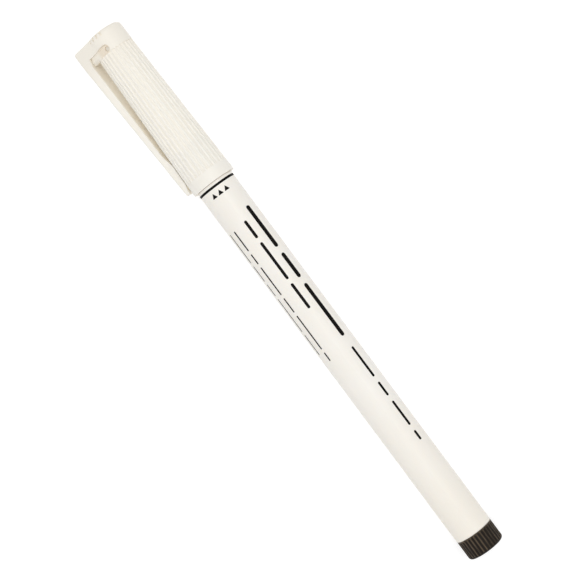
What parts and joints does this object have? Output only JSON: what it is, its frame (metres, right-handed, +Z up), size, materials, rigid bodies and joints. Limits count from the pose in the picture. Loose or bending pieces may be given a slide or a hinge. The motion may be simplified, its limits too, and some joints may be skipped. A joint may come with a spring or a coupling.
{
  "type": "correction pen",
  "caption": "Slim capped fibre-tip correction pen with a ribbed pull-off cap, a springy pocket clip, a round barrel that holds a solvent reservoir, and a ribbed end plug.",
  "frame": {"origin": "middle of the flat back end of the end plug, on the axis of the pen", "axes": "+X along the pen towards the cap; +Z up as the pen lies on a table, with the clip out to +Y and its lower corner level with the lowest point of the cap's rim"},
  "size_m": [0.14, 0.0132, 0.0104],
  "materials": {
    "cap_plastic": "fine satin moulded plastic, cream white",
    "barrel_plastic": "smooth moulded plastic, warm white",
    "plug_plastic": "satin moulded plastic, near black",
    "nose_plastic": "satin moulded plastic, pale grey white",
    "sleeve_plastic": "smooth stiff plastic, pale grey",
    "nib_fibre": "bonded fibre, off white",
    "filler_fibre": "fibre bundle, white",
    "filler_film": "thin clear film",
    "liner_plastic": "soft waxy plastic, natural white"
  },
  "bodies": {
    "barrel": {"barrel": "barrel_plastic", "end_plug": "plug_plastic", "front_section": "nose_plastic", "nib_sleeve": "sleeve_plastic", "nib": "nib_fibre", "reservoir_core": "filler_fibre", "reservoir_wrap": "filler_film"},
    "liner": {"inner_cap": "liner_plastic"},
    "cap": {"cap_shell": "cap_plastic"},
    "clip": {"pocket_clip": "cap_plastic"}
  },
  "joints": [
    {"name": "cap_pull", "type": "slide", "parent": "barrel", "child": "liner", "axis": [1, 0, 0], "range_m": [0, 0.045]},
    {"name": "cap_turn", "type": "hinge", "parent": "liner", "child": "cap", "pos_m": [0.1386, 0, 0], "axis": [1, 0, 0], "continuous": true},
    {"name": "clip_flex", "type": "hinge", "parent": "cap", "child": "clip", "pos_m": [0.138, 0.00589, -0.00251], "axis": [0, -0.392, -0.92], "range_deg": [0, 4], "stiffness_Nm_per_rad": 0.5}
  ]
}
